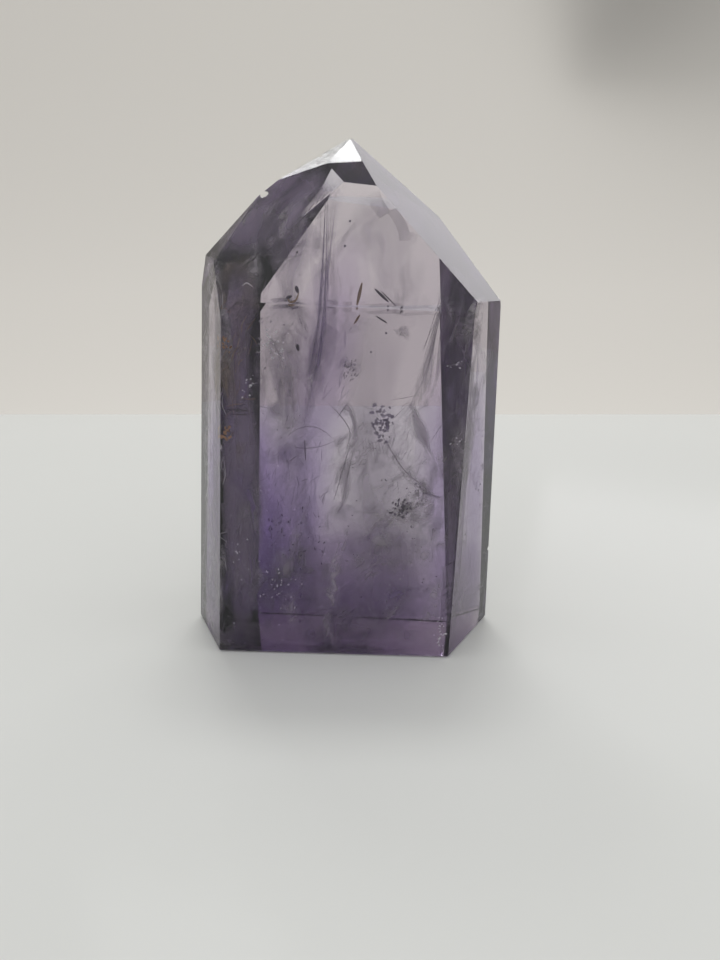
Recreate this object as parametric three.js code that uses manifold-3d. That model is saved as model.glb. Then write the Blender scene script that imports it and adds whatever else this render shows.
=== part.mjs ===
// Polished amethyst point: one natural quartz crystal, ground and polished on every side.
// It stands on a flat sawn base. Millimetres, +Z up, front facet towards -Y.
// The origin is the middle of the base's bounding box.
import * as THREE from 'three';
import { ConvexGeometry } from 'three/addons/geometries/ConvexGeometry.js';
import { mergeVertices } from 'three/addons/utils/BufferGeometryUtils.js';
import Module from 'manifold-3d';

const wasm = await Module();
wasm.setup();

// Every polished facet is a plane.
// facing: degrees round the point from the front (-Y) towards the right (+X).
// tilt: degrees that the facet's outward direction rises above level.
// reach: millimetres from the origin to the plane.
const PRISM_FACETS = {
  front: { facing: -3, tilt: -0.5, reach: 12.35 },
  right: { facing: 59.1, tilt: -1.7, reach: 26.06 },
  backRight: { facing: 130.4, tilt: 4.9, reach: 26.67 },
  back: { facing: 172.8, tilt: 3.8, reach: 15.7 },
  backLeft: { facing: 227, tilt: 5, reach: 25.79 },
  left: { facing: -65.8, tilt: 3.1, reach: 27.36 },
};
const TIP_FACETS = {
  frontSlope: { facing: -2.1, tilt: 21, reach: 37.66 },
  brow: { facing: 2.4, tilt: 48.5, reach: 72.19 },
  crown: { facing: 2, tilt: 51.5, reach: 75.33 },
  crownLeft: { facing: -35.5, tilt: 57.9, reach: 81.7 },
  upperLeft: { facing: -18.7, tilt: 36, reach: 57.55 },
  upperRight: { facing: 64.5, tilt: 45.4, reach: 71.11 },
  leftShoulder: { facing: -59.3, tilt: 41.1, reach: 68.68 },
  leftCorner: { facing: -25.4, tilt: 19.7, reach: 41.67 },
  backLeftSlope: { facing: 218.1, tilt: 29.6, reach: 50.65 },
  backRightSlope: { facing: 117.8, tilt: 16.7, reach: 44.28 },
  backTop: { facing: 170.6, tilt: 20.8, reach: 39.95 },
};
const BASE = { facing: 0, tilt: -90, reach: 0 };

// The sawn base has its rim ground off by this much, measured up each side.
const RIM_GRIND = 0.5;
// A point counts as inside a plane when it is no further out than this.
const ON_PLANE = 1e-6;

const COLOUR = 0x8d7f9b;

// Chips knocked off the edges: where the two named facets meet, at this height.
// size: the chip's half length, half width and half depth. turn: degrees about the upright axis.
const CHIPS = [
  { facets: ['upperLeft', 'backLeftSlope'], height: 90.1, size: [0.9, 2.2, 0.8], turn: 20 },
  { facets: ['crownLeft', 'backLeftSlope'], height: 96.4, size: [0.5, 0.7, 0.35], turn: -30 },
  { facets: ['right', 'backRight'], height: 17.4, size: [0.4, 0.5, 0.9], turn: 35 },
  { facets: ['front', 'right'], height: 4.2, size: [0.45, 0.5, 1.3], turn: 15 },
  { facets: ['front', 'left'], height: 37.3, size: [0.35, 0.4, 0.8], turn: -20 },
  { facets: ['back', 'backRight'], height: 61, size: [0.5, 0.6, 1.1], turn: 40 },
  { facets: ['back', 'backLeft'], height: 23, size: [0.5, 0.9, 0.9], turn: 10 },
];

function planeOf({ facing, tilt, reach }) {
  const round = THREE.MathUtils.degToRad(facing);
  const up = THREE.MathUtils.degToRad(tilt);
  const outward = new THREE.Vector3(
    Math.cos(up) * Math.sin(round),
    -Math.cos(up) * Math.cos(round),
    Math.sin(up),
  );
  return new THREE.Plane(outward, -reach);
}

// The rim facet under a prism facet: the same facing, turned half way down towards the base.
function rimPlaneUnder(side) {
  const outward = side.normal.clone();
  outward.z -= 1;
  outward.normalize();
  const level = new THREE.Vector2(side.normal.x, side.normal.y);
  const sideReachAtRim = (-side.constant - side.normal.z * RIM_GRIND) / level.length();
  const onRim = new THREE.Vector3(level.x, level.y, 0).normalize().multiplyScalar(sideReachAtRim);
  onRim.z = RIM_GRIND;
  return new THREE.Plane(outward, -outward.dot(onRim));
}

// The point where three planes meet, or null when two of them are parallel.
function cornerOf(a, b, c) {
  const bc = b.normal.clone().cross(c.normal);
  const det = a.normal.dot(bc);
  if (Math.abs(det) < ON_PLANE) return null;
  const ca = c.normal.clone().cross(a.normal);
  const ab = a.normal.clone().cross(b.normal);
  return bc.multiplyScalar(-a.constant)
    .addScaledVector(ca, -b.constant)
    .addScaledVector(ab, -c.constant)
    .divideScalar(det);
}

// Corners of the solid that lies inside every plane.
function cornersInside(planes) {
  const corners = [];
  for (let i = 0; i < planes.length; i += 1) {
    for (let j = i + 1; j < planes.length; j += 1) {
      for (let k = j + 1; k < planes.length; k += 1) {
        const corner = cornerOf(planes[i], planes[j], planes[k]);
        if (corner && planes.every((plane) => plane.distanceToPoint(corner) < ON_PLANE)) {
          corners.push(corner);
        }
      }
    }
  }
  return corners;
}

function solidOf(geometry) {
  const plain = geometry.clone();
  plain.deleteAttribute('normal');
  plain.deleteAttribute('uv');
  const merged = mergeVertices(plain, ON_PLANE);
  return new wasm.Manifold(new wasm.Mesh({
    numProp: 3,
    vertProperties: new Float32Array(merged.attributes.position.array),
    triVerts: new Uint32Array(merged.index.array),
  }));
}

function geometryOf(solid) {
  const mesh = solid.getMesh();
  const geometry = new THREE.BufferGeometry();
  geometry.setAttribute('position', new THREE.BufferAttribute(mesh.vertProperties, 3));
  geometry.setIndex(new THREE.BufferAttribute(mesh.triVerts, 1));
  geometry.computeVertexNormals();
  return geometry;
}

// Moves the geometry sideways until the middle of its box stands over the origin.
function centredOverBase(geometry) {
  geometry.computeBoundingBox();
  const middle = geometry.boundingBox.getCenter(new THREE.Vector3());
  return geometry.translate(-middle.x, -middle.y, 0);
}

// Where the edge between two facets passes a given height.
function pointOnEdge(planes, [first, second], height) {
  const level = new THREE.Plane(new THREE.Vector3(0, 0, 1), -height);
  return cornerOf(planes[first], planes[second], level);
}

// A chip leaves a small hollow with flat, uneven sides.
function chipSolid(planes, { facets, height, size, turn }) {
  const hollow = new THREE.IcosahedronGeometry(1, 0);
  hollow.scale(...size);
  hollow.rotateX(THREE.MathUtils.degToRad(turn / 2));
  hollow.rotateZ(THREE.MathUtils.degToRad(turn));
  const place = pointOnEdge(planes, facets, height);
  hollow.translate(place.x, place.y, place.z);
  return solidOf(hollow);
}

function crystalGeometry() {
  const facets = { ...PRISM_FACETS, ...TIP_FACETS };
  const planes = {};
  for (const [name, facet] of Object.entries(facets)) {
    planes[name] = planeOf(facet);
  }
  const rim = Object.keys(PRISM_FACETS).map((name) => rimPlaneUnder(planes[name]));
  const corners = cornersInside([...Object.values(planes), ...rim, planeOf(BASE)]);
  let crystal = solidOf(new ConvexGeometry(corners));
  for (const chip of CHIPS) {
    crystal = crystal.subtract(chipSolid(planes, chip));
  }
  return centredOverBase(geometryOf(crystal));
}

const amethystPoint = new THREE.Mesh(
  crystalGeometry(),
  new THREE.MeshStandardMaterial({ color: COLOUR, roughness: 0.06, metalness: 0 }),
);
amethystPoint.name = 'amethyst_point';

const part = new THREE.Group();
part.add(amethystPoint);

export default part;
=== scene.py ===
import math
from itertools import combinations, count

import bmesh
import bpy
import numpy as np
from mathutils import Matrix, Vector, noise


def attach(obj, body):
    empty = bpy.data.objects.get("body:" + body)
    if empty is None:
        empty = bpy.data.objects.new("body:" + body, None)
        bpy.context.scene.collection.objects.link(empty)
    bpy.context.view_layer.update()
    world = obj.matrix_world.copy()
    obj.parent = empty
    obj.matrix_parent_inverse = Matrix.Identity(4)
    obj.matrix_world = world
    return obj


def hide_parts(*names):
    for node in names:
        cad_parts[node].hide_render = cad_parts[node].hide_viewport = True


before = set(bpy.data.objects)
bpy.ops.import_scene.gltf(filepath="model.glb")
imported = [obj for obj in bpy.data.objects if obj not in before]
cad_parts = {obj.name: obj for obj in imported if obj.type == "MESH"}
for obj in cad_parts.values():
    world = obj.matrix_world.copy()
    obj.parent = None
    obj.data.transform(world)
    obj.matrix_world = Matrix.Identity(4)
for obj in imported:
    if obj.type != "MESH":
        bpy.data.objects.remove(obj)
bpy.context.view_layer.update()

MM = 0.001
RNG = np.random.default_rng(20)
FULL_CIRCLE = 6.28

# Camera, at the photo's viewing angle
PHOTO_WIDTH, PHOTO_HEIGHT = 720, 960
FOCAL_PX = 800
SENSOR_MM = 36
CAMERA_AT = Vector((3.90, -157.49, 90.66)) * MM
CAMERA_PITCH = 20
CLIP_NEAR, CLIP_FAR = 0.01, 20

# A ray through the colour zones and veils crosses many surfaces before it leaves the crystal.
MOST_BOUNCES = 160
GLOSSY_BOUNCES = 12

# Quartz
QUARTZ_IOR = 1.544
QUARTZ_TINT = (0.50, 0.42, 0.54, 1)
QUARTZ_DENSITY = 50

# Rounded edges: only where two facets turn by more than this many degrees
EDGE_ROUNDING = 0.16 * MM
ROUNDED_FROM = 2
ROUNDING_SEGMENTS = 3

# Polygons belong to one facet when they face the same way and reach equally far.
SAME_FACING = 0.99999
SAME_REACH = 0.02 * MM
MIN_FACET_AREA = 4 * MM * MM
PARALLEL = 1e-6
ON_PLANE = 1e-8
SAME_CORNER = 1e-7
FLAT_DEGREES = 0.05

# Nothing sealed in the crystal comes closer to its surface than a part of this skin, in millimetres.
SKIN = 0.5
SKIN_KEPT = 0.6
FAR_OFF = 9

# Chips knocked off the edges: photo pixel of the edge, and half sizes in millimetres
CHIPS = {
    "left_notch": ((265, 195), (0.9, 1.6, 0.7)),
    "left_of_apex": ((320, 156), (0.5, 0.7, 0.35)),
    "apex": ((350, 139), (0.35, 0.5, 0.25)),
    "right_side": ((487.5, 549), (0.3, 0.5, 0.7)),
    "front_right_foot": ((442, 652), (0.4, 0.5, 1.1)),
    "front_left_edge": ((221, 448), (0.25, 0.4, 0.7)),
    "right_foot": ((479, 620), (0.3, 0.5, 0.6)),
}


def new_object(name, vertices, faces):
    mesh = bpy.data.meshes.new(name)
    mesh.from_pydata([tuple(v) for v in vertices], [], faces)
    mesh.update()
    piece = bpy.data.objects.new(name, mesh)
    bpy.context.scene.collection.objects.link(piece)
    return piece


def make_camera():
    data = bpy.data.cameras.new("photo_camera")
    data.sensor_fit = "AUTO"
    data.sensor_width = SENSOR_MM
    data.lens = SENSOR_MM * FOCAL_PX / PHOTO_HEIGHT
    data.clip_start = CLIP_NEAR
    data.clip_end = CLIP_FAR
    camera = bpy.data.objects.new("photo_camera", data)
    bpy.context.scene.collection.objects.link(camera)
    camera.location = CAMERA_AT
    camera.rotation_euler = (math.radians(90 - CAMERA_PITCH), 0, 0)
    bpy.context.scene.camera = camera


# Facets: every flat side of the CAD solid, without the small sides of its chips
def facets_of(mesh):
    groups = []
    for polygon in mesh.polygons:
        normal, reach = polygon.normal, polygon.normal.dot(polygon.center)
        for group in groups:
            if group[0].dot(normal) > SAME_FACING and abs(group[1] - reach) < SAME_REACH:
                group[2] += polygon.area
                break
        else:
            groups.append([normal.copy(), reach, polygon.area])
    kept = [group for group in groups if group[2] > MIN_FACET_AREA]
    normals = np.array([group[0] for group in kept])
    return normals, np.array([group[1] for group in kept])


NORMALS, REACHES = facets_of(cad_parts["amethyst_point"].data)


def corners_of(normals, reaches):
    corners = []
    for trio in combinations(range(len(normals)), 3):
        sides = normals[list(trio)]
        if abs(np.linalg.det(sides)) < PARALLEL:
            continue
        corner = np.linalg.solve(sides, reaches[list(trio)])
        if np.all(normals @ corner - reaches < ON_PLANE):
            corners.append(corner)
    return corners


# Placing by photo pixel: the ray through the pixel, bent where it enters the quartz
def ray_through(px, py):
    pitch = math.radians(CAMERA_PITCH)
    ahead = np.array([0, math.cos(pitch), -math.sin(pitch)])
    up = np.array([0, math.sin(pitch), math.cos(pitch)])
    right = np.array([1.0, 0, 0])
    way = ahead * FOCAL_PX + right * (px - PHOTO_WIDTH / 2) + up * (PHOTO_HEIGHT / 2 - py)
    return way / np.linalg.norm(way)


def entry(px, py):
    """Where the pixel's ray enters the crystal, and the way it then goes."""
    start, way = np.array(CAMERA_AT), ray_through(px, py)
    slope = NORMALS @ way
    distance = np.where(slope < -PARALLEL, (REACHES - NORMALS @ start) / np.minimum(slope, -PARALLEL), -1)
    facet = int(np.argmax(distance))
    cosine = -slope[facet]
    bend = cosine / QUARTZ_IOR - math.sqrt(1 - (1 - cosine ** 2) / QUARTZ_IOR ** 2)
    return start + way * distance[facet], way / QUARTZ_IOR + bend * NORMALS[facet]


def on_crystal(px, py):
    return (NORMALS @ entry(px, py)[0] - REACHES).max() < SAME_CORNER


def inside(px, py, depth):
    """The point seen at a pixel, so many millimetres in and under the crystal's skin."""
    start, way = entry(px, py)
    slope = NORMALS @ way
    room = np.where(slope > PARALLEL, (REACHES - NORMALS @ start) / np.maximum(slope, PARALLEL), FAR_OFF)
    far = max(room.min() / MM - SKIN / 2, SKIN)
    return held_in(start + way * min(max(depth, SKIN), far) * MM)


def held_in(place, tries=30, push=1.02):
    """Pushes a point in until it is under the crystal's skin."""
    for _ in range(tries):
        over = NORMALS @ place - (REACHES - SKIN_KEPT * SKIN * MM)
        worst = int(np.argmax(over))
        if over[worst] <= 0:
            break
        place = place - NORMALS[worst] * over[worst] * push
    return place


# Material helpers
COARSE_DETAIL = 3


def node_material(name):
    material = bpy.data.materials.new(name)
    material.use_nodes = True
    nodes = material.node_tree.nodes
    return material, nodes, material.node_tree.links, nodes["Principled BSDF"]


def noise_node(nodes, links, scale, detail=6, stretch=(1, 1, 1), distortion=0.0):
    place = nodes.new("ShaderNodeTexCoord")
    mapping = nodes.new("ShaderNodeMapping")
    mapping.inputs["Scale"].default_value = stretch
    texture = nodes.new("ShaderNodeTexNoise")
    texture.inputs["Scale"].default_value = scale
    texture.inputs["Detail"].default_value = detail
    texture.inputs["Distortion"].default_value = distortion
    links.new(place.outputs["Object"], mapping.inputs["Vector"])
    links.new(mapping.outputs["Vector"], texture.inputs["Vector"])
    return texture.outputs["Fac"]


def map_range(nodes, links, source, from_low, from_high, to_low, to_high):
    node = nodes.new("ShaderNodeMapRange")
    node.inputs["From Min"].default_value = from_low
    node.inputs["From Max"].default_value = from_high
    node.inputs["To Min"].default_value = to_low
    node.inputs["To Max"].default_value = to_high
    links.new(source, node.inputs["Value"])
    return node.outputs["Result"]


def multiply(nodes, links, first, second):
    node = nodes.new("ShaderNodeMath")
    node.operation = "MULTIPLY"
    links.new(first, node.inputs[0])
    links.new(second, node.inputs[1])
    return node.outputs["Value"]


def mixed_colour(nodes, links, shader, dark, light, scale):
    """A base colour that drifts between a dark and a light one."""
    mix = nodes.new("ShaderNodeMix")
    mix.data_type = "RGBA"
    mix.inputs["A"].default_value = (*dark, 1)
    mix.inputs["B"].default_value = (*light, 1)
    links.new(noise_node(nodes, links, scale, COARSE_DETAIL), mix.inputs["Factor"])
    links.new(mix.outputs["Result"], shader.inputs["Base Color"])


def absorption(nodes, links, tint, density):
    volume = nodes.new("ShaderNodeVolumeAbsorption")
    volume.inputs["Color"].default_value = tint
    volume.inputs["Density"].default_value = density
    links.new(volume.outputs["Volume"], nodes["Material Output"].inputs["Volume"])


# Polished quartz: the steep facets of the very tip keep a satin finish.
SATIN_FROM_SLOPE, SATIN_FULL_SLOPE = 0.765, 0.80
SATIN_GRAIN = 900
GRAIN_LOW, GRAIN_HIGH = 0.35, 0.7
SATIN_LEAST, SATIN_MOST = 0.05, 0.16
POLISH_WAVES = 160
POLISH_WAVE_STRENGTH = 0.02
POLISH_WAVE_HEIGHT = 0.4 * MM


def quartz_material():
    material, nodes, links, shader = node_material("amethyst_quartz")
    shader.inputs["Base Color"].default_value = (1, 1, 1, 1)
    shader.inputs["IOR"].default_value = QUARTZ_IOR
    shader.inputs["Transmission Weight"].default_value = 1
    facing = nodes.new("ShaderNodeNewGeometry")
    split = nodes.new("ShaderNodeSeparateXYZ")
    links.new(facing.outputs["Normal"], split.inputs["Vector"])
    steep = map_range(nodes, links, split.outputs["Z"], SATIN_FROM_SLOPE, SATIN_FULL_SLOPE, 0, 1)
    speckle = noise_node(nodes, links, SATIN_GRAIN)
    grain = map_range(nodes, links, speckle, GRAIN_LOW, GRAIN_HIGH, SATIN_LEAST, SATIN_MOST)
    links.new(multiply(nodes, links, steep, grain), shader.inputs["Roughness"])
    waves = nodes.new("ShaderNodeBump")
    waves.inputs["Strength"].default_value = POLISH_WAVE_STRENGTH
    waves.inputs["Distance"].default_value = POLISH_WAVE_HEIGHT
    links.new(noise_node(nodes, links, POLISH_WAVES, COARSE_DETAIL), waves.inputs["Height"])
    links.new(waves.outputs["Normal"], shader.inputs["Normal"])
    absorption(nodes, links, QUARTZ_TINT, QUARTZ_DENSITY)
    return material


def zone_material(name, tint, density):
    """Deeper colour in the same quartz: it bends no light, it only absorbs."""
    material, nodes, links, shader = node_material(name)
    shader.inputs["Base Color"].default_value = (1, 1, 1, 1)
    shader.inputs["Roughness"].default_value = 0
    shader.inputs["IOR"].default_value = 1.0
    shader.inputs["Transmission Weight"].default_value = 1
    absorption(nodes, links, tint, density)
    return material


# A veil is a sheet of tiny sealed bubbles: patchy, streaky and thinning out to its rim.
VEIL_ROUGHNESS = 0.6
VEIL_COLOUR_SCALE = 0.6
VEIL_DETAIL = 8
VEIL_DISTORTION = 0.6


def veil_material(name, dark, light, most, scale, stretch=(1, 1, 1), low=0.36, high=0.66):
    """Its noise is clear below low and reaches the most cover at high."""
    material, nodes, links, shader = node_material(name)
    mixed_colour(nodes, links, shader, dark, light, scale * VEIL_COLOUR_SCALE)
    shader.inputs["Roughness"].default_value = VEIL_ROUGHNESS
    fade = nodes.new("ShaderNodeAttribute")
    fade.attribute_name = "fade"
    grain = noise_node(nodes, links, scale, VEIL_DETAIL, stretch, VEIL_DISTORTION)
    patches = map_range(nodes, links, grain, low, high, 0, most)
    links.new(multiply(nodes, links, patches, fade.outputs["Fac"]), shader.inputs["Alpha"])
    return material


SPECK_COLOUR_SCALE = 500


def speck_material(name, dark, light, roughness, alpha=1.0):
    material, nodes, links, shader = node_material(name)
    mixed_colour(nodes, links, shader, dark, light, SPECK_COLOUR_SCALE)
    shader.inputs["Roughness"].default_value = roughness
    shader.inputs["Alpha"].default_value = alpha
    return material


# Mesh helpers
def mesh_of(bm, name):
    mesh = bpy.data.meshes.new(name)
    bm.to_mesh(mesh)
    bm.free()
    return mesh


def hull_of(corners):
    bm = bmesh.new()
    for corner in corners:
        bm.verts.new(corner)
    bmesh.ops.remove_doubles(bm, verts=bm.verts, dist=SAME_CORNER)
    bmesh.ops.convex_hull(bm, input=bm.verts)
    return bm


def apply_boolean(piece, operation, other_mesh):
    """Cuts the piece by another mesh and keeps the result as its own mesh."""
    other = bpy.data.objects.new("boolean_helper", other_mesh)
    bpy.context.scene.collection.objects.link(other)
    cut = piece.modifiers.new("boolean", "BOOLEAN")
    cut.operation = operation
    cut.solver = "EXACT"
    cut.object = other
    depsgraph = bpy.context.evaluated_depsgraph_get()
    mesh = bpy.data.meshes.new_from_object(piece.evaluated_get(depsgraph))
    piece.modifiers.clear()
    piece.data = mesh
    bpy.data.objects.remove(other)


# The crystal itself, with chips cut out by small uneven balls
CHIP_FINENESS = 2
CHIP_UNEVENNESS = 0.35
CHIP_BUMPS = 1.7
CHIP_VARIETY = 900
RIM_DISTANCES = np.linspace(0.13, 0.19, 600)
RIM_GAP = 0.3 * MM


def rough_hollow(centre, size):
    bm = bmesh.new()
    bmesh.ops.create_icosphere(bm, subdivisions=CHIP_FINENESS, radius=1)
    for vertex in bm.verts:
        vertex.co *= 1 + CHIP_UNEVENNESS * noise.noise(vertex.co * CHIP_BUMPS + centre * CHIP_VARIETY)
        vertex.co = Vector(np.array(vertex.co) * size) * MM + centre
    return mesh_of(bm, "chip")


def nearest_rim(px, py):
    """Where the pixel's ray comes closest to the crystal, for chips at the outline."""
    start, way = np.array(CAMERA_AT), ray_through(px, py)
    best, place = math.inf, None
    for distance in RIM_DISTANCES:
        point = start + way * distance
        gap = (NORMALS @ point - REACHES).max()
        if gap < best:
            best, place = gap, point
    return entry(px, py)[0] if best < -RIM_GAP else place


def round_edges(crystal):
    rounding = crystal.modifiers.new("rounded_edges", "BEVEL")
    rounding.width = EDGE_ROUNDING
    rounding.segments = ROUNDING_SEGMENTS
    rounding.limit_method = "ANGLE"
    rounding.angle_limit = math.radians(ROUNDED_FROM)
    rounding.harden_normals = True


def make_crystal():
    bm = hull_of(corners_of(NORMALS, REACHES))
    bmesh.ops.dissolve_limit(bm, angle_limit=math.radians(FLAT_DEGREES), verts=bm.verts, edges=bm.edges)
    bmesh.ops.recalc_face_normals(bm, faces=bm.faces)
    for face in bm.faces:
        face.smooth = True
    crystal = bpy.data.objects.new("crystal", mesh_of(bm, "crystal"))
    bpy.context.scene.collection.objects.link(crystal)
    crystal.data.materials.append(quartz_material())
    round_edges(crystal)
    for (px, py), size in CHIPS.values():
        place = Vector(nearest_rim(px, py))
        apply_boolean(crystal, "DIFFERENCE", rough_hollow(place, size))
    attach(crystal, "root")
    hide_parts("amethyst_point")


# Colour zones: closed lumps of deeper colour, one inside another so that their rims are soft
ZONE_FINENESS = 4
ZONE_SHRINK = 0.66
ZONE_UNEVENNESS = 0.22
ZONE_BUMPS = 1.4
BUMP_FALL, BUMP_STEP, BUMP_OCTAVES = 1, 2, 4

# No two zones share an inset, in millimetres, so that no two of their flat sides lie in one plane.
ZONE_INSET_STEP = 0.07
ZONE_INSETS = count(SKIN, ZONE_INSET_STEP)

VIOLET = (0.36, 0.16, 0.66, 1)
PLUM = (0.42, 0.28, 0.56, 1)
SMOKE = (0.55, 0.48, 0.50, 1)

# Centre and half sizes in millimetres, turn in degrees about the front to back axis, tint, density, layers.
# The crystal is deepest violet at its root and down its left side.
ZONES = {
    "root_violet": ((-3, 1.5, 0), (38, 13.5, 30), 3, PLUM, 120, 4),
    "left_violet": ((-19, 2, 25), (9, 10, 30), 6, VIOLET, 85, 3),
    "lilac_column": ((-10, -3, 24), (8, 7, 27), 12, VIOLET, 75, 4),
    "left_edge_smoke": ((-20, -1, 62), (7, 8, 19), 8, SMOKE, 24, 2),
    "heart_violet": ((-3, 2, 57), (7, 6, 26), 14, VIOLET, 45, 3),
    "right_violet": ((22, 2, 32), (6, 7, 30), -4, VIOLET, 55, 3),
}


def hull_mesh(inset):
    """The crystal's own shape, smaller by the inset on every side."""
    bm = hull_of(corners_of(NORMALS, REACHES - inset))
    bmesh.ops.recalc_face_normals(bm, faces=bm.faces)
    return mesh_of(bm, "inner_hull")


def lump_mesh(name, layer, scale, spin, centre, size):
    bm = bmesh.new()
    bmesh.ops.create_icosphere(bm, subdivisions=ZONE_FINENESS, radius=1)
    for vertex in bm.verts:
        place = vertex.co * ZONE_BUMPS + Vector((layer, len(name), 0))
        bumps = noise.fractal(place, BUMP_FALL, BUMP_STEP, BUMP_OCTAVES)
        point = spin @ Vector(np.array(vertex.co * scale * (1 + ZONE_UNEVENNESS * bumps)) * size)
        vertex.co = (point + Vector(centre)) * MM
    return mesh_of(bm, name)


def make_zone(name, centre, size, turn, tint, density, layers):
    material = zone_material(name, tint, density / layers)
    spin = Matrix.Rotation(math.radians(turn), 3, "Y")
    for layer in range(layers):
        scale = 1 - ZONE_SHRINK * layer / layers
        piece = bpy.data.objects.new(f"{name}_{layer}", lump_mesh(name, layer, scale, spin, centre, size))
        bpy.context.scene.collection.objects.link(piece)
        apply_boolean(piece, "INTERSECT", hull_mesh(next(ZONE_INSETS) * MM))
        piece.data.materials.clear()
        piece.data.materials.append(material)
        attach(piece, "root")


# Sheets, strands and specks are gathered by look and made as one mesh each.
PILES = {}


def add_shape(look, vertices, faces, fades):
    heap = PILES.setdefault(look, {"vertices": [], "faces": [], "fade": []})
    first = len(heap["vertices"])
    heap["vertices"] += list(vertices)
    heap["faces"] += [tuple(first + corner for corner in face) for face in faces]
    heap["fade"] += list(fades)


def smooth_path(points, steps):
    """Evenly numbered points on a Catmull-Rom curve through the given ones."""
    given = np.array(points, float)
    given = np.vstack([2 * given[0] - given[1], given, 2 * given[-1] - given[-2]])
    spans = len(given) - 3
    path = []
    for step in range(steps):
        along = spans * step / (steps - 1)
        span = min(int(along), spans - 1)
        t = along - span
        a, b, c, d = given[span:span + 4]
        path.append(0.5 * (2 * b + (c - a) * t + (2 * a - 5 * b + 4 * c - d) * t ** 2
                           + (3 * b - a - 3 * c + d) * t ** 3))
    return np.array(path)


# How a veil's width swells along it, how its rim wanders, how its sheet slopes and rolls in depth,
# and how soon it fades in from its ends
VEIL_WIDTH, VEIL_SWELL = 0.75, 0.35
SWELL_ALONG = 3 * math.pi
VEIL_WANDER = 0.12
WANDER_ALONG, WANDER_ACROSS = 9, 3
VEIL_SLOPE, VEIL_ROLL = 0.6, 0.4
ROLL_ALONG, ROLL_ACROSS = 5, 2
VEIL_END_FADE = 6
VEIL_ACROSS = 14


def veil(look, path, half_width, depth, spread=3.0, steps=40, strength=1.0):
    """A curved sheet along a path of pixels; half_width in pixels, depth and spread in millimetres."""
    line = smooth_path(path, steps)
    swell, wander, roll, _ = RNG.uniform(0, FULL_CIRCLE, 4)
    vertices, faces, fades = [], [], []
    for i, centre in enumerate(line):
        ahead = line[min(i + 1, steps - 1)] - line[max(i - 1, 0)]
        side = np.array([-ahead[1], ahead[0]]) / max(np.hypot(*ahead), PARALLEL)
        along = i / (steps - 1)
        width = half_width * (VEIL_WIDTH + VEIL_SWELL * math.sin(SWELL_ALONG * along + swell))
        end = min(1, VEIL_END_FADE * along, VEIL_END_FADE * (1 - along))
        for j in range(VEIL_ACROSS):
            off = 2 * j / (VEIL_ACROSS - 1) - 1
            wavy = VEIL_WANDER * math.sin(WANDER_ALONG * along + WANDER_ACROSS * off + wander)
            px, py = centre + side * width * (off + wavy)
            rise = VEIL_SLOPE * off + VEIL_ROLL * math.sin(ROLL_ALONG * along + ROLL_ACROSS * off + roll)
            vertices.append(inside(px, py, depth + spread * rise))
            fades.append(strength * end * (1 - off ** 2))
    for i in range(steps - 1):
        for j in range(VEIL_ACROSS - 1):
            k = i * VEIL_ACROSS + j
            faces.append((k, k + 1, k + VEIL_ACROSS + 1, k + VEIL_ACROSS))
    add_shape(look, vertices, faces, fades)


# Steps along straight and curved strands, sides round them, and how they thin out to their points
NEEDLE_STEPS, CURVE_STEPS = 6, 14
STRAND_SIDES = 5
STRAND_TIP = 0.4
STRAND_THINNEST = 0.08
STRAND_BLUNTNESS = 0.6
STRAND_ACROSS = (0.31, 1, 0.17)
TINY = 1e-12


def strand(look, path, radius, depth, steps=CURVE_STEPS):
    """A thin solid thread along a path of pixels, pointed at both ends; radius and depth in millimetres."""
    points = [inside(px, py, depth) for px, py in smooth_path(path, steps)]
    vertices, faces = [], []
    for i, point in enumerate(points):
        ahead = points[min(i + 1, steps - 1)] - points[max(i - 1, 0)]
        first = np.cross(ahead, STRAND_ACROSS)
        first /= max(np.linalg.norm(first), TINY)
        second = np.cross(first, ahead)
        second /= max(np.linalg.norm(second), TINY)
        taper = math.sin(math.pi * (i + STRAND_TIP) / (steps - STRAND_TIP / 2)) ** STRAND_BLUNTNESS
        thick = radius * MM * max(STRAND_THINNEST, taper)
        for side in range(STRAND_SIDES):
            angle = 2 * math.pi * side / STRAND_SIDES
            vertices.append(point + thick * (first * math.cos(angle) + second * math.sin(angle)))
    for i in range(steps - 1):
        for side in range(STRAND_SIDES):
            k, n = i * STRAND_SIDES + side, i * STRAND_SIDES + (side + 1) % STRAND_SIDES
            faces.append((k, n, n + STRAND_SIDES, k + STRAND_SIDES))
    faces.append(tuple(reversed(range(STRAND_SIDES))))
    faces.append(tuple(range((steps - 1) * STRAND_SIDES, steps * STRAND_SIDES)))
    add_shape(look, vertices, faces, [1] * len(vertices))


# A bundle's path has so many points; each thread starts and ends in these ranges of them.
BUNDLE_STEPS = 24
BUNDLE_STARTS, BUNDLE_ENDS = (0, 10), (13, 24)
BUNDLE_SPLAY = (0.3, 1)
BUNDLE_THREAD_STEPS = 16
BUNDLE_RADIUS = (0.03, 0.07)
BUNDLE_DEPTH_SPREAD = 3


def loose_strand(look, path, stray, depth):
    """One thread of a bundle: it starts, wanders and ends where it likes, up to stray pixels off."""
    line = smooth_path(path, BUNDLE_STEPS)
    first, last = RNG.integers(*BUNDLE_STARTS), RNG.integers(*BUNDLE_ENDS)
    aside = RNG.uniform(-stray, stray) * np.linspace(*BUNDLE_SPLAY, last - first)
    own = line[first:last] + np.stack([aside, np.zeros(last - first)], axis=1)
    radius = RNG.uniform(*BUNDLE_RADIUS)
    deep = depth + RNG.uniform(-BUNDLE_DEPTH_SPREAD, BUNDLE_DEPTH_SPREAD)
    strand(look, own[::2], radius, deep, BUNDLE_THREAD_STEPS)


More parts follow.
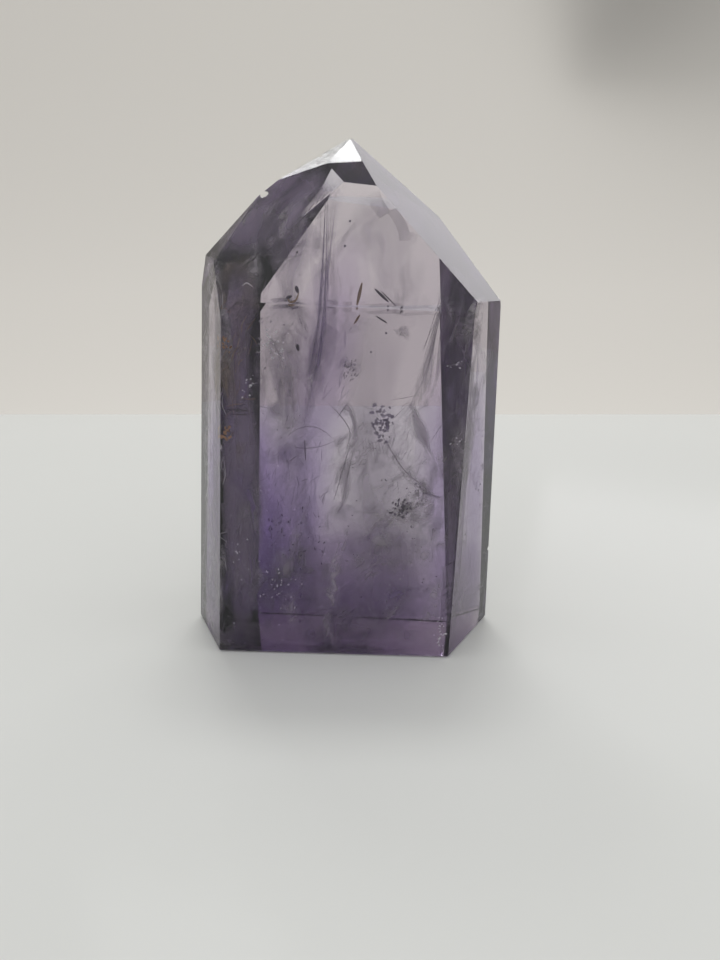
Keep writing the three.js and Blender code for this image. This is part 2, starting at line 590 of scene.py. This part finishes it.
# A fleck's size from pixels to millimetres, its rim's corners and unevenness, its lean and its thickness
FLECK_PIXELS_PER_MM = 5
FLECK_RIM = 7
FLECK_UNEVENNESS = (0.6, 1.1)
FLECK_MOST_LEAN = 0.7
FLECK_DEPTH_LEAN = 0.4
FLECK_THICKNESS = 0.12


def fleck(look, px, py, size, depth, stretch=1.0, lean=None):
    """A small solid flake with an uneven rim; size is its half length in pixels, lean is in degrees."""
    centre = inside(px, py, depth)
    half = size / FLECK_PIXELS_PER_MM * MM
    turn = RNG.uniform(0, math.pi) if lean is None else math.radians(lean)
    tip = RNG.uniform(-FLECK_MOST_LEAN, FLECK_MOST_LEAN)
    long_way = np.array([math.cos(turn), FLECK_DEPTH_LEAN * tip, math.sin(turn)])
    wide_way = np.array([-math.sin(turn), tip, math.cos(turn)]) / stretch
    thick_way = np.cross(long_way, wide_way) * FLECK_THICKNESS
    vertices = []
    for k in range(FLECK_RIM):
        angle = 2 * math.pi * k / FLECK_RIM
        reach = half * RNG.uniform(*FLECK_UNEVENNESS)
        vertices.append(centre + reach * (long_way * math.cos(angle) + wide_way * math.sin(angle)))
    vertices.append(centre + half * thick_way)
    vertices.append(centre - half * thick_way)
    faces = []
    for k in range(FLECK_RIM):
        faces.append((k, (k + 1) % FLECK_RIM, FLECK_RIM))
        faces.append(((k + 1) % FLECK_RIM, k, FLECK_RIM + 1))
    add_shape(look, vertices, faces, [1] * len(vertices))


# Strewing: the share of a box within one deviation of its middle, the range of sizes, the stray in degrees
CLUSTER_TIGHTNESS = 0.25
CLUSTER_SIZES = (0.4, 1.3)
CLUSTER_STRAY = 18


def cluster(look, box, number, size, depth, spread=2.0, stretch=1.6, lean=None):
    """Flecks strewn in a box of pixels, denser towards its middle."""
    x0, y0, x1, y1 = box
    for _ in range(number):
        px = (x0 + x1) / 2 + (x1 - x0) * CLUSTER_TIGHTNESS * RNG.normal()
        py = (y0 + y1) / 2 + (y1 - y0) * CLUSTER_TIGHTNESS * RNG.normal()
        px, py = min(max(px, x0), x1), min(max(py, y0), y1)
        if not on_crystal(px, py):
            continue
        way = None if lean is None else lean + RNG.normal() * CLUSTER_STRAY
        own_size = size * RNG.uniform(*CLUSTER_SIZES)
        fleck(look, px, py, own_size, depth + RNG.uniform(-spread, spread), stretch, way)


HAIR_LENGTHS = (0.3, 0.7)
HAIR_BEND = 0.25
HAIR_RADII = (0.6, 1.3)


def hairs(look, box, number, length, lean, radius, depth, spread=3.0, scatter=14):
    """Short fine threads that lie much the same way, in a box of pixels; lean and scatter in degrees."""
    x0, y0, x1, y1 = box
    for _ in range(number):
        px, py = RNG.uniform(x0, x1), RNG.uniform(y0, y1)
        if not on_crystal(px, py):
            continue
        turn = math.radians(lean + RNG.normal() * scatter)
        way = np.array([math.cos(turn), -math.sin(turn)]) * length * RNG.uniform(*HAIR_LENGTHS)
        bend = np.array([way[1], -way[0]]) * RNG.uniform(-HAIR_BEND, HAIR_BEND)
        path = [(px, py) - way, (px, py) + bend, (px, py) + way]
        own_radius = radius * RNG.uniform(*HAIR_RADII)
        strand(look, path, own_radius, depth + RNG.uniform(-spread, spread), NEEDLE_STEPS)


HAZE_STRAY = 16
HAZE_LENGTHS = (0.5, 1.2)
HAZE_BEND = 0.3
HAZE_WIDTHS = (0.5, 1.3)


def haze(looks, box, number, lean, half_width, depth, spread=3.0, strength=0.8, length=90):
    """Wisps of veil strewn in a box of pixels; lean is the way they run, in degrees above level."""
    x0, y0, x1, y1 = box
    for k in range(number):
        px, py = RNG.uniform(x0, x1), RNG.uniform(y0, y1)
        turn = math.radians(lean + RNG.normal() * HAZE_STRAY)
        way = np.array([math.cos(turn), -math.sin(turn)]) * length * RNG.uniform(*HAZE_LENGTHS) / 2
        side = np.array([way[1], -way[0]]) * RNG.uniform(-HAZE_BEND, HAZE_BEND)
        path = [(px, py) - way, (px, py) - way / 3 + side, (px, py) + way / 3 - side / 2, (px, py) + way]
        path = [(min(max(x, x0), x1), min(max(y, y0), y1)) for x, y in path]
        wide = half_width * RNG.uniform(*HAZE_WIDTHS)
        look = looks[k % len(looks)]
        veil(look, path, wide, depth + RNG.uniform(-spread, spread), strength=strength)


# What is sealed in the crystal, where the photo shows it. Paths, boxes (left, top, right, bottom) and
# veil widths are in photo pixels; depths, in millimetres, are guesses.

# Broad faint mist, which softens everything behind it: look, path, half width, depth
MIST = {
    "left_band": ("veil_mist", [(238, 262), (240, 380), (240, 520), (244, 650)], 26, 5, {"steps": 60}),
    "left_band_deep": ("veil_mist", [(238, 262), (242, 380), (240, 520), (242, 650)], 24, 9, {"steps": 60}),
    "upper_left": ("veil_mist", [(218, 256), (250, 228), (286, 200), (330, 172)], 26, 4, {"steps": 50}),
    "upper_left_deep": ("veil_mist", [(230, 250), (262, 216), (296, 190), (326, 176)], 20, 7, {"steps": 50}),
    "slope_rim": ("veil_grey", [(282, 236), (296, 214), (310, 200), (326, 186)], 14, 3,
                  {"steps": 50, "strength": 0.9}),
    "slope_rim_mist": ("veil_mist", [(280, 240), (296, 214), (312, 198), (330, 184)], 15, 2, {"steps": 50}),
    "slope_left": ("veil_mist", [(292, 190), (288, 260), (290, 330)], 30, 7, {"steps": 50, "strength": 0.9}),
    "front_left": ("veil_mist", [(290, 300), (296, 420), (290, 540), (292, 650)], 44, 9,
                   {"steps": 60, "strength": 0.9}),
    "front_right": ("veil_mist", [(360, 300), (372, 420), (380, 540), (384, 652)], 60, 10,
                    {"steps": 60, "strength": 0.8}),
    "slope_right": ("veil_mist", [(372, 190), (388, 250), (394, 330)], 46, 9, {"steps": 50, "strength": 0.5}),
    "right_side": ("veil_mist", [(458, 270), (456, 380), (452, 500), (450, 640)], 16, 5, {"steps": 60}),
    "foot": ("veil_mist", [(232, 640), (300, 632), (370, 634), (440, 640)], 26, 6,
             {"steps": 60, "strength": 0.8}),
}

# Wisps strewn by region: looks, box, number, lean, half width, depth
HAZES = {
    "left_band": (("veil_grey", "veil_violet", "veil_brown"), (221, 268, 262, 640), 15, 86, 12, 6, {}),
    "front_left": (("veil_grey", "veil_pale", "veil_violet"), (262, 330, 332, 630), 16, 80, 13, 7,
                   {"strength": 0.7}),
    "front_middle": (("veil_grey", "veil_pale"), (330, 395, 446, 520), 12, 55, 12, 8, {}),
    "front_low": (("veil_grey", "veil_violet", "veil_pale"), (330, 510, 446, 650), 14, 30, 14, 7, {}),
    "foot": (("veil_grey", "veil_violet"), (222, 570, 340, 652), 10, 50, 15, 6, {}),
    "upper_left": (("veil_grey", "veil_pale"), (222, 200, 330, 262), 12, 45, 9, 4,
                   {"spread": 2, "length": 60}),
    "right_side": (("veil_grey", "veil_violet", "veil_pale"), (446, 300, 490, 620), 12, 76, 7, 5,
                   {"length": 80}),
    "left_side": (("veil_grey", "veil_pale"), (203, 262, 219, 640), 12, 88, 4, 3,
                  {"spread": 2, "length": 110}),
    "front_slope": (("veil_lilac", "veil_grey"), (285, 200, 435, 300), 5, 78, 12, 9, {"strength": 0.45}),
}

# Single veils: look, path, half width, depth
VEILS = {
    "curl_by_brown_hook": ("veil_grey", [(282, 232), (277, 262), (284, 290), (300, 318), (312, 345)], 9, 6,
                           {"strength": 0.9}),
    "lilac_ribbon": ("veil_lilac", [(336, 184), (331, 240), (326, 300), (318, 360), (305, 420), (292, 480)],
                     13, 9, {"steps": 70}),
    "lilac_ribbon_core": ("veil_lilac", [(322, 190), (318, 260), (322, 330), (314, 385), (302, 430)], 7, 6,
                          {"steps": 60}),
    "violet_thread_veil": ("veil_violet", [(326, 200), (323, 270), (320, 350), (309, 392)], 4, 7,
                           {"steps": 50}),
    "fan": ("veil_grey", [(449, 268), (438, 318), (427, 370), (416, 398), (396, 420)], 8, 6, {"steps": 50}),
    "fan_right": ("veil_grey", [(456, 280), (446, 330), (436, 380), (424, 410)], 5, 9, {"steps": 50}),
    "brown_streak": ("veil_brown", [(353, 284), (346, 312), (338, 346)], 5, 8, {}),
    "brown_smoke": ("veil_brown", [(330, 250), (336, 290), (332, 330)], 8, 10, {"strength": 0.6}),
    "yellowish_pale": ("veil_pale", [(343, 335), (356, 320), (372, 330)], 14, 8, {"strength": 0.6}),
    "striated_patch": ("veil_violet", [(340, 360), (350, 366), (360, 374)], 8, 5, {}),
    "grey_wing": ("veil_grey", [(396, 334), (402, 330), (409, 340)], 7, 5, {}),
    "arrow": ("veil_grey", [(330, 405), (350, 412), (352, 436), (330, 448)], 9, 7, {}),
    "left_drift": ("veil_grey", [(262, 340), (275, 350), (290, 400), (282, 440)], 13, 5, {}),
    "sparkle_ground": ("veil_pale", [(268, 336), (280, 346), (290, 352)], 12, 4, {}),
    "curved_crack": ("veil_grey", [(384, 436), (404, 468), (428, 492), (446, 500)], 7, 6, {"steps": 50}),
    "right_drift": ("veil_grey", [(410, 400), (420, 430), (432, 462)], 9, 9, {}),
    "pale_cloud": ("veil_pale", [(330, 655), (328, 610), (336, 566), (350, 520)], 13, 4, {"steps": 50}),
    "pale_sweep": ("veil_pale", [(352, 540), (380, 520), (420, 515), (450, 500)], 16, 7,
                   {"steps": 60, "strength": 0.8}),
    "grey_sweep": ("veil_grey", [(345, 575), (380, 556), (420, 545), (448, 520)], 20, 5, {"steps": 60}),
    "violet_sweep": ("veil_violet", [(345, 620), (385, 600), (430, 590)], 22, 5, {"steps": 60}),
    "low_left_sweep": ("veil_grey", [(236, 560), (262, 575), (290, 566), (310, 540)], 20, 5, {"steps": 60}),
    "deep_violet_left": ("veil_violet", [(228, 460), (250, 500), (256, 560), (240, 600)], 16, 4,
                         {"steps": 60}),
    "bright_lilac_patch": ("veil_pale", [(300, 470), (292, 520), (300, 570)], 14, 9, {"strength": 0.5}),
    "left_side_streak": ("veil_grey", [(212, 290), (210, 380), (212, 470), (210, 560), (214, 630)], 7, 3,
                         {"spread": 1.5, "steps": 90}),
    "left_side_glow": ("veil_pale", [(208, 300), (207, 400), (209, 520), (212, 620)], 4, 1.5,
                       {"spread": 0.8, "steps": 90, "strength": 0.8}),
    "left_band_brown": ("veil_brown", [(230, 290), (238, 330), (226, 380), (234, 430)], 13, 6,
                        {"steps": 60}),
    "left_band_grey": ("veil_grey", [(240, 262), (246, 300), (240, 350), (248, 400)], 12, 9, {"steps": 60}),
    "below_notch": ("veil_pale", [(262, 205), (255, 240), (252, 290)], 10, 6, {"strength": 0.8}),
    "upper_left_streak": ("veil_grey", [(225, 245), (245, 228), (262, 215), (290, 196)], 9, 4,
                          {"steps": 50}),
    "v_fracture": ("veil_pale", [(288, 206), (283, 222), (278, 238)], 5, 4, {}),
    "right_side_violet": ("veil_violet", [(468, 330), (462, 400), (457, 470), (452, 560)], 7, 8,
                          {"steps": 60}),
    "right_side_grey": ("veil_grey", [(478, 400), (470, 440), (458, 480), (446, 520)], 8, 4, {"steps": 50}),
    "right_shoulder": ("veil_grey", [(464, 300), (458, 320), (449, 348)], 5, 4, {}),
    "right_side_pale": ("veil_pale", [(470, 420), (463, 460), (448, 500)], 6, 6, {}),
}

# Needles (two points) and curved threads: look, path, radius, depth
THREADS = {
    "dark_crystal": ("needle_dark", [(375, 289), (388.6, 302)], 0.28, 5),
    "dark_crystal_twin": ("needle_dark", [(381, 291), (396, 306)], 0.12, 5),
    "v_mark": ("needle_dark", [(400, 314), (403, 307)], 0.12, 5),
    "dark_crystal_double": ("needle_dark", [(376, 316), (387, 323)], 0.16, 6),
    "brown_leaf": ("needle_brown", [(357, 305), (362, 283)], 0.32, 6),
    "brown_leaf_double": ("needle_brown", [(354, 324), (360, 315)], 0.22, 7),
    "hook_head": ("needle_dark", [(296, 286), (298, 293)], 0.35, 4),
    "hook_foot": ("needle_dark", [(286, 298), (292, 296)], 0.32, 4),
    "hook_curl": ("needle_brown", [(288, 298), (290, 302), (296, 300), (299, 292)], 0.2, 4),
    "hook_double": ("needle_dark", [(297, 344), (298.5, 351)], 0.32, 5),
    "long_needle": ("needle_dark", [(350, 445), (334, 500)], 0.07, 6),
    "long_needle_twin": ("needle_dark", [(353, 452), (341, 506)], 0.05, 7),
    "crossed_needle": ("needle_dark", [(350, 400), (337, 418)], 0.06, 6),
    "upright_stroke": ("needle_dark", [(304.6, 440), (305.7, 460)], 0.12, 4),
    "slanted_stroke": ("needle_grey", [(287, 463), (301, 453)], 0.08, 4),
    "cavity_needle": ("needle_grey", [(240, 401), (271, 409)], 0.07, 3),
    "cavity_upper": ("needle_dark", [(227, 409), (249, 411)], 0.22, 4),
    "cavity_lower": ("needle_dark", [(229, 414), (250, 415)], 0.12, 4),
    "right_glint_upper": ("needle_grey", [(448, 366), (466, 362)], 0.12, 3),
    "right_glint_lower": ("needle_grey", [(450, 446), (463, 440)], 0.12, 3),
    "right_tick": ("needle_grey", [(443, 475), (458, 467)], 0.06, 3),
    "right_line": ("needle_grey", [(485, 417), (465, 450)], 0.07, 2),
    "right_crack": ("needle_grey", [(429, 445), (441, 426), (452, 414), (465, 405)], 0.09, 3),
    "curved_crack_edge": ("needle_grey", [(382, 435), (392, 452), (404, 470), (418, 482), (430, 490)],
                          0.12, 6),
    "eye_upper_arc": ("needle_grey", [(282, 440), (300, 428), (318, 428), (335, 440)], 0.08, 5),
    "eye_lower_arc": ("needle_grey", [(282, 442), (300, 448), (318, 447), (335, 441)], 0.08, 5),
    "white_curve": ("needle_pale", [(242, 286), (247, 283), (253, 287)], 0.1, 3),
    "arrow_edge": ("needle_grey", [(325, 400), (340, 415), (350, 432), (346, 450)], 0.1, 7),
    "fan_foot_left": ("needle_grey", [(405, 407), (398, 414), (392, 420)], 0.06, 5),
    "fan_foot_right": ("needle_grey", [(418, 395), (404, 398), (390, 400)], 0.06, 5),
}

# A comb of fine parallel needles: the first one's ends, and how the next ones are shifted in pixels
COMB_TOP, COMB_FOOT = (362, 436), (364, 452)
COMB_TEETH = 7
COMB_STEP_RIGHT, COMB_STEP_DOWN = 3.2, 1
COMB_SPLAY = 1.1
COMB_RADIUS, COMB_DEPTH = 0.05, 6

# Bundles of loose threads: look, path, stray, depth
BUNDLES = {
    "fan": ("needle_grey", [(450, 268), (438, 320), (425, 372), (408, 404)], 11, 6),
    "lilac_ribbon": ("needle_violet", [(327, 200), (324, 290), (318, 350), (306, 400)], 9, 7),
}
BUNDLE_THREADS = 16

# Hairs strewn by region: look, box, number, length, lean, radius, depth
HAIRS = {
    "slope_left": ("needle_grey", (262, 240, 300, 330), 30, 14, 60, 0.04, 6, {}),
    "lilac_ribbon": ("needle_violet", (300, 330, 350, 400), 34, 16, 70, 0.045, 7, {}),
    "front_middle": ("needle_grey", (340, 395, 430, 470), 50, 14, 55, 0.04, 7, {"scatter": 45}),
    "eye": ("needle_grey", (260, 420, 320, 500), 36, 14, 80, 0.045, 5, {"scatter": 30}),
    "bright_lilac_patch": ("needle_dark", (268, 450, 326, 560), 34, 8, 85, 0.05, 5, {"scatter": 22}),
    "right_middle": ("needle_grey", (360, 480, 445, 560), 46, 13, 35, 0.04, 6, {"scatter": 40}),
    "left_side_pale": ("needle_pale", (202, 290, 219, 630), 44, 18, 88, 0.05, 2,
                       {"spread": 1.2, "scatter": 8}),
    "left_side_grey": ("needle_grey", (202, 290, 219, 640), 44, 22, 88, 0.045, 2.5,
                       {"spread": 1.2, "scatter": 8}),
    "deep_violet_left": ("needle_violet", (222, 430, 258, 600), 40, 14, 78, 0.06, 5, {"scatter": 16}),
    "left_band_brown": ("needle_brown", (222, 300, 258, 440), 30, 12, 70, 0.06, 5, {"scatter": 30}),
    "right_side": ("needle_grey", (446, 400, 486, 560), 36, 15, 50, 0.045, 4, {"spread": 2, "scatter": 22}),
    "right_edge": ("needle_violet", (474, 430, 488, 560), 22, 10, 70, 0.05, 2, {"spread": 1, "scatter": 20}),
    "upper_left": ("needle_grey", (230, 210, 300, 262), 30, 14, 40, 0.045, 4, {"spread": 2, "scatter": 20}),
}

# Flecks strewn by region: look, box, number, size in pixels, depth
CLUSTERS = {
    "violet_speckles": ("speck_violet", (372, 405, 394, 442), 60, 2.6, 6, {}),
    "dark_speckles": ("speck_dark", (390, 500, 411, 517), 60, 1.7, 5, {}),
    "left_dark_flecks": ("speck_dark", (264, 512, 282, 545), 16, 1.8, 4, {"lean": 85, "stretch": 2.6}),
    "middle_dark_flecks": ("speck_dark", (284, 508, 324, 570), 34, 1.5, 4, {"lean": 70, "stretch": 2.4}),
    # The white flecks from here down to the right glints are painted glints: sparkles of light caught by
    # cracks and by the chipped foot, painted white.
    "left_sparkles": ("painted_glint_speck", (260, 330, 288, 358), 34, 1.3, 3, {}),
    "band_sparkles": ("painted_glint_speck", (242, 374, 256, 402), 16, 1.1, 3, {}),
    "painted_glint_strokes": ("painted_glint_speck", (232, 538, 242, 564), 10, 1.1, 2, {"lean": 88, "stretch": 3}),
    "painted_glint_star": ("painted_glint_speck", (260, 560, 302, 612), 30, 1.4, 2, {"lean": 60, "stretch": 3}),
    "foot_chip_glints": ("painted_glint_speck", (434, 616, 446, 648), 22, 1.2, 1.2, {}),
    "right_glint_upper": ("painted_glint_speck", (446, 360, 466, 368), 10, 1.1, 2, {"lean": 10, "stretch": 3}),
    "right_glint_lower": ("painted_glint_speck", (450, 438, 464, 447), 9, 1.1, 2, {"lean": 25, "stretch": 3}),
    "upper_stain": ("speck_brown", (216, 338, 228, 356), 12, 2.2, 3, {}),
    "lower_stain": ("speck_brown", (218, 426, 232, 442), 14, 2.4, 3, {}),
    "dark_cavity": ("speck_dark", (226, 404, 252, 416), 20, 1.9, 3, {"lean": 5, "stretch": 3}),
    "right_purple_flecks": ("speck_violet", (475, 430, 488, 505), 24, 1.8, 2, {}),
    "pale_ring": ("speck_grey", (404, 480, 430, 506), 40, 1.5, 5, {}),
    "striated_patch": ("speck_grey", (340, 355, 360, 380), 40, 1.6, 5, {"lean": 60, "stretch": 2.6}),
    "low_right_dust": ("speck_grey", (345, 480, 445, 620), 110, 1.2, 6, {"spread": 4}),
    "foot_dust": ("speck_violet", (225, 570, 330, 650), 70, 1.5, 4, {"spread": 3}),
    # Painted glints: white flecks strewn as small sparkles of reflected light across the lower front.
    "painted_glint_dust": ("painted_glint_speck", (225, 420, 330, 640), 46, 0.9, 5, {"spread": 4}),
    "upper_left_dust": ("speck_grey", (225, 260, 300, 430), 60, 1.2, 5, {"spread": 4}),
}

# Single dark dots
DOTS = [(276, 270), (388, 310), (386, 333), (371, 352), (350, 221), (345, 246), (297, 252)]
DOT_SIZE, DOT_DEPTH = 1.2, 5


def make_veils():
    for look, path, half_width, depth, extras in MIST.values():
        veil(look, path, half_width, depth, **extras)
    for looks, box, number, lean, half_width, depth, extras in HAZES.values():
        haze(looks, box, number, lean, half_width, depth, **extras)
    for look, path, half_width, depth, extras in VEILS.values():
        veil(look, path, half_width, depth, **extras)


def make_comb():
    for tooth in range(COMB_TEETH):
        right, down = COMB_STEP_RIGHT * tooth, COMB_STEP_DOWN * tooth
        top = (COMB_TOP[0] + right, COMB_TOP[1] + down)
        foot = (COMB_FOOT[0] + right * COMB_SPLAY, COMB_FOOT[1] + down)
        strand("needle_grey", [top, foot], COMB_RADIUS, COMB_DEPTH, NEEDLE_STEPS)


def make_threads():
    for look, path, radius, depth in THREADS.values():
        strand(look, path, radius, depth, NEEDLE_STEPS if len(path) == 2 else CURVE_STEPS)
    make_comb()
    for look, path, stray, depth in BUNDLES.values():
        for _ in range(BUNDLE_THREADS):
            loose_strand(look, path, stray, depth)
    for look, box, number, length, lean, radius, depth, extras in HAIRS.values():
        hairs(look, box, number, length, lean, radius, depth, **extras)


def make_flecks():
    for look, box, number, size, depth, extras in CLUSTERS.values():
        cluster(look, box, number, size, depth, **extras)
    for px, py in DOTS:
        fleck("speck_dark", px, py, DOT_SIZE, DOT_DEPTH)


# Looks: dark and light colour, then the most cover and grain of a veil, or a speck's roughness and cover
STREAKS = (1, 1, 0.22)
LOOKS = {
    "veil_grey": veil_material("veil_grey", (0.31, 0.26, 0.35), (0.52, 0.47, 0.53), 0.75, 420, STREAKS),
    "veil_lilac": veil_material("veil_lilac", (0.42, 0.33, 0.55), (0.62, 0.52, 0.70), 0.60, 300, STREAKS),
    "veil_violet": veil_material("veil_violet", (0.16, 0.10, 0.28), (0.34, 0.24, 0.48), 0.70, 380, STREAKS),
    "veil_brown": veil_material("veil_brown", (0.26, 0.18, 0.14), (0.48, 0.38, 0.30), 0.60, 350, STREAKS),
    "veil_pale": veil_material("veil_pale", (0.66, 0.62, 0.64), (0.85, 0.82, 0.84), 0.60, 460),
    "veil_mist": veil_material("veil_mist", (0.27, 0.19, 0.33), (0.50, 0.41, 0.58), 0.80, 110, STREAKS,
                               low=0.2, high=0.7),
    "needle_dark": speck_material("needle_dark", (0.03, 0.02, 0.04), (0.09, 0.06, 0.10), 0.4),
    "needle_brown": speck_material("needle_brown", (0.18, 0.10, 0.06), (0.34, 0.22, 0.14), 0.5),
    "needle_grey": speck_material("needle_grey", (0.26, 0.22, 0.28), (0.50, 0.46, 0.50), 0.5, 0.45),
    "needle_violet": speck_material("needle_violet", (0.20, 0.13, 0.32), (0.34, 0.26, 0.48), 0.5, 0.5),
    "needle_pale": speck_material("needle_pale", (0.70, 0.68, 0.70), (0.92, 0.90, 0.92), 0.3, 0.8),
    "speck_dark": speck_material("speck_dark", (0.05, 0.04, 0.07), (0.16, 0.12, 0.20), 0.4, 0.75),
    "speck_violet": speck_material("speck_violet", (0.18, 0.12, 0.28), (0.32, 0.24, 0.42), 0.5, 0.5),
    "speck_brown": speck_material("speck_brown", (0.40, 0.18, 0.08), (0.58, 0.34, 0.18), 0.5, 0.8),
    "speck_grey": speck_material("speck_grey", (0.28, 0.25, 0.30), (0.52, 0.48, 0.52), 0.5, 0.7),
    # This bright white look is a painted glint: white flecks standing in for light that small cracks in the
    # quartz catch and reflect.
    "painted_glint_speck": speck_material("painted_glint_speck", (0.86, 0.84, 0.88), (0.98, 0.96, 0.99), 0.15),
}


def make_piles():
    for look, heap in PILES.items():
        piece = new_object(look, heap["vertices"], heap["faces"])
        fade = piece.data.attributes.new("fade", "FLOAT", "POINT")
        fade.data.foreach_set("value", np.array(heap["fade"], float))
        for polygon in piece.data.polygons:
            polygon.use_smooth = look.startswith("veil")
        piece.data.materials.append(LOOKS[look])
        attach(piece, "root")


# Stage: a pale floor with its back edge, and a pale wall behind it
FLOOR_HALF = 1
FLOOR_BACK = 0.174
FLOOR_DROP = 0.05 * MM
FLOOR_COLOUR = (0.70, 0.71, 0.69)
FLOOR_ROUGHNESS, FLOOR_GLOSS = 0.15, 0.05
WALL_AT = 0.6
WALL_HALF, WALL_FOOT, WALL_TOP = 2, -1, 2
WALL_COLOUR = (0.53, 0.51, 0.475)
WALL_ROUGHNESS, WALL_GLOSS = 0.9, 0.2

# Even soft light from all round the room
ROOM_GLOW = (0.85, 0.85, 0.85, 1)

# Panels that the crown and the ridge beside it mirror. Azimuth from straight behind to the right and
# elevation, in degrees, are as seen from the tip; the size is across and up.
TIP = Vector((0, 0, 0.09))
PANEL_DISTANCE = 0.9
PANELS = {
    "crown_panel": {"azimuth": 3, "elevation": 71, "size": (0.26, 0.15), "radiance": 14},
    "ridge_panel": {"azimuth": -20, "elevation": 49, "size": (0.22, 0.20), "radiance": 5},
}

# A wash on the wall from below, behind the floor's back edge
WASH_AT, WASH_WAY = (0, 0.30, -0.45), (0, 0.30, 0.65)
WASH_SIZE, WASH_RADIANCE = (1.6, 0.3), 2.2

# A window's glow low behind the crystal on the right
WINDOW_AT, WINDOW_WAY = (0.27, 0.48, 0.29), (-0.26, -0.48, -0.2)
WINDOW_SIZE, WINDOW_RADIANCE = 0.24, 1.8
WINDOW_COLOUR = (1.0, 0.97, 1.0, 1)


def plain_material(name, colour, roughness, gloss):
    material, _, _, shader = node_material(name)
    shader.inputs["Base Color"].default_value = (*colour, 1)
    shader.inputs["Roughness"].default_value = roughness
    shader.inputs["Specular IOR Level"].default_value = gloss
    return material


def make_floor():
    half, low = FLOOR_HALF, -FLOOR_DROP
    corners = [(-half, -half, low), (half, -half, low), (half, FLOOR_BACK, low), (-half, FLOOR_BACK, low)]
    floor = new_object("floor", corners, [(0, 1, 2, 3)])
    floor.data.materials.append(plain_material("floor", FLOOR_COLOUR, FLOOR_ROUGHNESS, FLOOR_GLOSS))


def make_wall():
    half, back, low, high = WALL_HALF, WALL_AT, WALL_FOOT, WALL_TOP
    corners = [(-half, back, low), (half, back, low), (half, back, high), (-half, back, high)]
    wall = new_object("wall", corners, [(0, 1, 2, 3)])
    wall.data.materials.append(plain_material("wall", WALL_COLOUR, WALL_ROUGHNESS, WALL_GLOSS))


def make_room_light():
    world = bpy.data.worlds.new("room")
    bpy.context.scene.world = world
    world.use_nodes = True
    world.node_tree.nodes["Background"].inputs["Color"].default_value = ROOM_GLOW


def area_light(name, place, way, size, radiance):
    data = bpy.data.lights.new(name, "AREA")
    data.shape = "RECTANGLE"
    data.size, data.size_y = size
    data.energy = radiance * math.pi * size[0] * size[1]
    lamp = bpy.data.objects.new(name, data)
    bpy.context.scene.collection.objects.link(lamp)
    lamp.location = place
    lamp.rotation_euler = Vector(way).to_track_quat("-Z", "Y").to_euler()
    lamp.visible_camera = False


def panel(name, azimuth, elevation, size, radiance):
    level = math.cos(math.radians(elevation))
    way = Vector((level * math.sin(math.radians(azimuth)), level * math.cos(math.radians(azimuth)),
                  math.sin(math.radians(elevation))))
    area_light(name, TIP + way * PANEL_DISTANCE, -way, size, radiance)


def window_glow():
    """A card that shines on the side towards the crystal."""
    half = WINDOW_SIZE / 2
    corners = [(-half, -half, 0), (half, -half, 0), (half, half, 0), (-half, half, 0)]
    card = new_object("window_glow", corners, [(0, 1, 2, 3)])
    card.location = WINDOW_AT
    card.rotation_euler = Vector(WINDOW_WAY).to_track_quat("Z", "Y").to_euler()
    material, nodes, links, shader = node_material("window_glow")
    shader.inputs["Base Color"].default_value = (0, 0, 0, 1)
    shader.inputs["Emission Color"].default_value = WINDOW_COLOUR
    side = nodes.new("ShaderNodeNewGeometry")
    glow = map_range(nodes, links, side.outputs["Backfacing"], 0, 1, WINDOW_RADIANCE, 0)
    links.new(glow, shader.inputs["Emission Strength"])
    card.data.materials.append(material)
    card.visible_camera = False
    card.visible_shadow = False


def set_light_paths():
    scene = bpy.context.scene
    scene.view_settings.view_transform = "Standard"
    scene.cycles.max_bounces = MOST_BOUNCES
    scene.cycles.transmission_bounces = MOST_BOUNCES
    scene.cycles.transparent_max_bounces = MOST_BOUNCES
    scene.cycles.glossy_bounces = GLOSSY_BOUNCES
    scene.cycles.use_denoising = True


make_camera()
make_crystal()
for zone, (centre, size, turn, tint, density, layers) in ZONES.items():
    make_zone(zone, centre, size, turn, tint, density, layers)
make_veils()
make_threads()
make_flecks()
make_piles()
make_floor()
make_wall()
make_room_light()
for name, settings in PANELS.items():
    panel(name, **settings)
area_light("wall_wash", WASH_AT, WASH_WAY, WASH_SIZE, WASH_RADIANCE)
window_glow()
set_light_paths()
